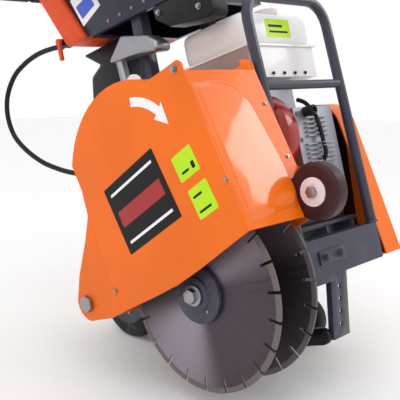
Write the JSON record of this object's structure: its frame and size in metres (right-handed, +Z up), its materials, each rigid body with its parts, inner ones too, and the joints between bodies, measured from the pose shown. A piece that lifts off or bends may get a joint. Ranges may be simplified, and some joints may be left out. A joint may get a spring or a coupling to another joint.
{
  "type": "walk-behind concrete saw",
  "caption": "Walk-behind floor saw: paired toothed discs under a hinged guard with a roller, engine and fuel tank on a wheeled frame, crash hoop, water tank with hose, tilting handlebar.",
  "frame": {"origin": "centre of the saw's box at floor level, measured without the loose water hose", "axes": "+X forward in the direction of travel, +Y to the machine's left, +Z up; the blades are on the machine's right"},
  "size_m": [1.1388, 0.517, 0.9221],
  "materials": {
    "slate_paint": "satin dark slate paint",
    "orange_paint": "glossy orange paint",
    "navy_paint": "satin dark navy paint",
    "red_paint": "glossy deep red paint",
    "white_paint": "glossy white paint",
    "blade_steel": "ground steel with a radial sheen",
    "bright_steel": "zinc-plated steel",
    "cast_aluminium": "cast, matt",
    "black_plastic": "matt black moulding",
    "pale_plastic": "pale moulded plastic",
    "red_plastic": "orange-red moulded plastic",
    "rubber": "black rubber",
    "wheel_rubber": "solid black tyre",
    "roller_rubber": "dark brown-red rubber"
  },
  "bodies": {
    "chassis": {"air_cleaner": "black_plastic", "arm_pivot_pin": "bright_steel", "bearing_housing_far": "cast_aluminium", "bearing_housing_near": "cast_aluminium", "belt_guard": "orange_paint", "console_body": "navy_paint", "console_bracket": "black_plastic", "console_post_far": "slate_paint", "console_post_near": "slate_paint", "crash_frame": "slate_paint", "deck_plate": "slate_paint", "depth_leg": "slate_paint", "drive_belt": "rubber", "engine_bed": "slate_paint", "engine_block": "cast_aluminium", "fan_cover": "red_paint", "front_beam": "slate_paint", "fuel_tank": "white_paint", "guard_pivot_pin": "bright_steel", "hose_elbow": "black_plastic", "leg_bracket": "slate_paint", "leg_clamp": "slate_paint", "muffler": "bright_steel", "rear_axle": "bright_steel", "side_rail_far": "slate_paint", "side_rail_near": "slate_paint", "water_hose": "rubber", "water_tank": "red_plastic", "water_tap": "black_plastic"},
    "blade_rotor": {"blade_inner": "blade_steel", "blade_outer": "blade_steel", "blade_shaft": "bright_steel", "blade_spacer": "bright_steel", "driven_pulley": "slate_paint", "inner_flange": "slate_paint", "outer_flange": "slate_paint", "shaft_bolt": "bright_steel"},
    "crank_rotor": {"crankshaft": "bright_steel", "drive_pulley": "slate_paint"},
    "guard": {"guard_shell": "orange_paint", "guard_lug": "white_paint", "roller_bolt": "bright_steel"},
    "guard_roller": {"roller_hub": "pale_plastic", "roller_tyre": "roller_rubber"},
    "rear_wheel_near": {"rear_wheel_near": "wheel_rubber"},
    "rear_wheel_far": {"rear_wheel_far": "wheel_rubber"},
    "front_arm": {"front_arm_near": "black_plastic", "front_arm_far": "black_plastic", "front_axle": "bright_steel"},
    "front_wheel_near": {"front_wheel_near": "wheel_rubber"},
    "front_wheel_far": {"front_wheel_far": "wheel_rubber"},
    "handle": {"handlebar": "slate_paint", "grip_near": "rubber", "grip_far": "rubber"},
    "fuel_cap": {"fuel_cap": "pale_plastic"},
    "water_cap": {"water_cap": "black_plastic"},
    "tap_lever": {"tap_lever": "red_plastic"},
    "throttle_lever": {"throttle_lever": "black_plastic"},
    "stop_button": {"stop_button": "red_paint"},
    "starter_handle": {"starter_handle": "black_plastic"}
  },
  "joints": [
    {"name": "blade_spin", "type": "hinge", "parent": "chassis", "child": "blade_rotor", "pos_m": [0.35682, -0.1995, 0.21491], "axis": [0, 1, 0], "continuous": true},
    {"name": "crank_spin", "type": "hinge", "parent": "chassis", "child": "crank_rotor", "pos_m": [0.31064, -0.1995, 0.46188], "axis": [0, 1, 0], "continuous": true},
    {"name": "guard_swing", "type": "hinge", "parent": "chassis", "child": "guard", "pos_m": [0.1027, -0.1995, 0.14685], "axis": [0, 1, 0], "range_deg": [0, 18.5]},
    {"name": "roller_spin", "type": "hinge", "parent": "guard", "child": "guard_roller", "pos_m": [0.52137, -0.1995, 0.4013], "axis": [0, 1, 0], "continuous": true},
    {"name": "rear_wheel_near_spin", "type": "hinge", "parent": "chassis", "child": "rear_wheel_near", "pos_m": [0.00082, -0.047, 0.09491], "axis": [0, 1, 0], "continuous": true},
    {"name": "rear_wheel_far_spin", "type": "hinge", "parent": "chassis", "child": "rear_wheel_far", "pos_m": [0.00082, 0.199, 0.09491], "axis": [0, 1, 0], "continuous": true},
    {"name": "front_arm_swing", "type": "hinge", "parent": "chassis", "child": "front_arm", "pos_m": [0.14272, -0.1995, 0.11688], "axis": [0, -1, 0], "range_deg": [0, 14.5]},
    {"name": "front_wheel_near_spin", "type": "hinge", "parent": "front_arm", "child": "front_wheel_near", "pos_m": [0.29682, -0.0385, 0.04991], "axis": [0, 1, 0], "continuous": true},
    {"name": "front_wheel_far_spin", "type": "hinge", "parent": "front_arm", "child": "front_wheel_far", "pos_m": [0.29682, 0.1955, 0.04991], "axis": [0, 1, 0], "continuous": true},
    {"name": "handle_tilt", "type": "hinge", "parent": "chassis", "child": "handle", "pos_m": [-0.05204, -0.1995, 0.75799], "axis": [0, 1, 0], "range_deg": [-10, 35]},
    {"name": "fuel_cap_twist", "type": "hinge", "parent": "chassis", "child": "fuel_cap", "pos_m": [0.2208, 0.1305, 0.6943], "axis": [-0.2807, 0, 0.9598], "range_deg": [0, 90]},
    {"name": "water_cap_twist", "type": "hinge", "parent": "chassis", "child": "water_cap", "pos_m": [-0.32416, 0.0655, 0.82876], "axis": [-0.2807, 0, 0.9598], "range_deg": [0, 90]},
    {"name": "tap_turn", "type": "hinge", "parent": "chassis", "child": "tap_lever", "pos_m": [-0.21025, -0.0758, 0.65234], "axis": [0, 1, 0], "range_deg": [0, 90]},
    {"name": "throttle_turn", "type": "hinge", "parent": "chassis", "child": "throttle_lever", "pos_m": [0.01862, -0.0095, 0.83699], "axis": [0, 1, 0], "range_deg": [-30, 30]},
    {"name": "stop_press", "type": "slide", "parent": "chassis", "child": "stop_button", "axis": [0.2807, 0, -0.9598], "range_m": [0, 0.004], "stiffness_N_per_m": 300},
    {"name": "starter_pull", "type": "slide", "parent": "chassis", "child": "starter_handle", "axis": [-0.2807, 0, 0.9598], "range_m": [0, 0.2], "stiffness_N_per_m": 20}
  ],
  "couplings": [
    {"joint": "crank_spin", "follows": "blade_spin", "ratio": 1.2069}
  ]
}
